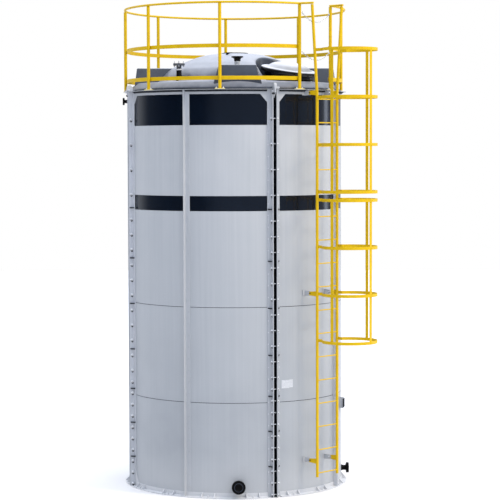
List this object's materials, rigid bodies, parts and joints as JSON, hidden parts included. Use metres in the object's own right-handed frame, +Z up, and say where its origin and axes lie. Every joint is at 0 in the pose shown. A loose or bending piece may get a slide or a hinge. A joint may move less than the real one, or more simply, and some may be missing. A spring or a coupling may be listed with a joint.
{
  "type": "vertical storage tank",
  "caption": "Upright cylindrical plastic tank inside a bolted steel jacket, with a domed roof, manhole, guardrail and a caged side ladder.",
  "frame": {"origin": "on the tank's vertical axis, at the underside of the tank floor (ground level)", "axes": "+Z up along the tank axis, -Y towards the front outlet, +X towards the side drain"},
  "size_m": [3.341, 3.3297, 6.4524],
  "materials": {
    "lower_plate_1_jacket_paint": "satin grey paint",
    "band_plate_1_jacket_paint": "satin grey paint",
    "top_ring_1_jacket_paint": "satin grey paint",
    "base_ring_1_joint_paint": "satin grey paint",
    "middle_strip_1_joint_paint": "satin grey paint",
    "joint_angle_left_1_joint_paint": "satin grey paint",
    "joint_angle_right_1_joint_paint": "satin grey paint",
    "lower_plate_2_jacket_paint": "satin grey paint",
    "band_plate_2_jacket_paint": "satin grey paint",
    "top_ring_2_jacket_paint": "satin grey paint",
    "base_ring_2_joint_paint": "satin grey paint",
    "middle_strip_2_joint_paint": "satin grey paint",
    "joint_angle_left_2_joint_paint": "satin grey paint",
    "joint_angle_right_2_joint_paint": "satin grey paint",
    "lower_plate_3_jacket_paint": "satin grey paint",
    "band_plate_3_jacket_paint": "satin grey paint",
    "top_ring_3_jacket_paint": "satin grey paint",
    "base_ring_3_joint_paint": "satin grey paint",
    "middle_strip_3_joint_paint": "satin grey paint",
    "joint_angle_left_3_joint_paint": "satin grey paint",
    "joint_angle_right_3_joint_paint": "satin grey paint",
    "lower_plate_4_jacket_paint": "satin grey paint",
    "band_plate_4_jacket_paint": "satin grey paint",
    "top_ring_4_jacket_paint": "satin grey paint",
    "base_ring_4_joint_paint": "satin grey paint",
    "middle_strip_4_joint_paint": "satin grey paint",
    "joint_angle_left_4_joint_paint": "satin grey paint",
    "joint_angle_right_4_joint_paint": "satin grey paint",
    "tank_shell_tank_plastic": "smooth black moulded polyethylene",
    "tank_roof_tank_plastic": "smooth black moulded polyethylene",
    "manhole_lid_fitting_plastic": "black moulded plastic",
    "roof_nozzle_fitting_plastic": "black moulded plastic",
    "roof_vent_fitting_plastic": "black moulded plastic",
    "front_outlet_fitting_plastic": "black moulded plastic",
    "side_drain_fitting_plastic": "black moulded plastic",
    "overflow_nozzle_fitting_plastic": "black moulded plastic",
    "plate_bracket_dark_plate": "dark painted steel",
    "post_1_safety_yellow": "yellow safety paint",
    "post_2_safety_yellow": "yellow safety paint",
    "post_3_safety_yellow": "yellow safety paint",
    "post_4_safety_yellow": "yellow safety paint",
    "post_5_safety_yellow": "yellow safety paint",
    "post_6_safety_yellow": "yellow safety paint",
    "post_7_safety_yellow": "yellow safety paint",
    "post_8_safety_yellow": "yellow safety paint",
    "post_9_safety_yellow": "yellow safety paint",
    "middle_rail_safety_yellow": "yellow safety paint",
    "lower_rail_safety_yellow": "yellow safety paint",
    "top_rail_safety_yellow": "yellow safety paint",
    "ladder_safety_yellow": "yellow safety paint",
    "cage_lower_safety_yellow": "yellow safety paint",
    "cage_upper_safety_yellow": "yellow safety paint",
    "ladder_bracket_1_safety_yellow": "yellow safety paint",
    "ladder_bracket_2_safety_yellow": "yellow safety paint",
    "ladder_bracket_3_safety_yellow": "yellow safety paint",
    "ladder_bracket_4_safety_yellow": "yellow safety paint",
    "ladder_bracket_5_safety_yellow": "yellow safety paint",
    "ladder_bracket_6_safety_yellow": "yellow safety paint",
    "gate_chain_1_plain_steel": "galvanised steel",
    "gate_chain_2_plain_steel": "galvanised steel"
  },
  "bodies": {
    "root": {"lower_plate_1": "lower_plate_1_jacket_paint", "band_plate_1": "band_plate_1_jacket_paint", "top_ring_1": "top_ring_1_jacket_paint", "base_ring_1": "base_ring_1_joint_paint", "middle_strip_1": "middle_strip_1_joint_paint", "joint_angle_left_1": "joint_angle_left_1_joint_paint", "joint_angle_right_1": "joint_angle_right_1_joint_paint", "lower_plate_2": "lower_plate_2_jacket_paint", "band_plate_2": "band_plate_2_jacket_paint", "top_ring_2": "top_ring_2_jacket_paint", "base_ring_2": "base_ring_2_joint_paint", "middle_strip_2": "middle_strip_2_joint_paint", "joint_angle_left_2": "joint_angle_left_2_joint_paint", "joint_angle_right_2": "joint_angle_right_2_joint_paint", "lower_plate_3": "lower_plate_3_jacket_paint", "band_plate_3": "band_plate_3_jacket_paint", "top_ring_3": "top_ring_3_jacket_paint", "base_ring_3": "base_ring_3_joint_paint", "middle_strip_3": "middle_strip_3_joint_paint", "joint_angle_left_3": "joint_angle_left_3_joint_paint", "joint_angle_right_3": "joint_angle_right_3_joint_paint", "lower_plate_4": "lower_plate_4_jacket_paint", "band_plate_4": "band_plate_4_jacket_paint", "top_ring_4": "top_ring_4_jacket_paint", "base_ring_4": "base_ring_4_joint_paint", "middle_strip_4": "middle_strip_4_joint_paint", "joint_angle_left_4": "joint_angle_left_4_joint_paint", "joint_angle_right_4": "joint_angle_right_4_joint_paint", "tank_shell": "tank_shell_tank_plastic", "tank_roof": "tank_roof_tank_plastic", "manhole_lid": "manhole_lid_fitting_plastic", "roof_nozzle": "roof_nozzle_fitting_plastic", "roof_vent": "roof_vent_fitting_plastic", "front_outlet": "front_outlet_fitting_plastic", "side_drain": "side_drain_fitting_plastic", "overflow_nozzle": "overflow_nozzle_fitting_plastic", "plate_bracket": "plate_bracket_dark_plate", "post_1": "post_1_safety_yellow", "post_2": "post_2_safety_yellow", "post_3": "post_3_safety_yellow", "post_4": "post_4_safety_yellow", "post_5": "post_5_safety_yellow", "post_6": "post_6_safety_yellow", "post_7": "post_7_safety_yellow", "post_8": "post_8_safety_yellow", "post_9": "post_9_safety_yellow", "middle_rail": "middle_rail_safety_yellow", "lower_rail": "lower_rail_safety_yellow", "top_rail": "top_rail_safety_yellow", "ladder": "ladder_safety_yellow", "cage_lower": "cage_lower_safety_yellow", "cage_upper": "cage_upper_safety_yellow", "ladder_bracket_1": "ladder_bracket_1_safety_yellow", "ladder_bracket_2": "ladder_bracket_2_safety_yellow", "ladder_bracket_3": "ladder_bracket_3_safety_yellow", "ladder_bracket_4": "ladder_bracket_4_safety_yellow", "ladder_bracket_5": "ladder_bracket_5_safety_yellow", "ladder_bracket_6": "ladder_bracket_6_safety_yellow", "gate_chain_1": "gate_chain_1_plain_steel", "gate_chain_2": "gate_chain_2_plain_steel"}
  },
  "joints": []
}
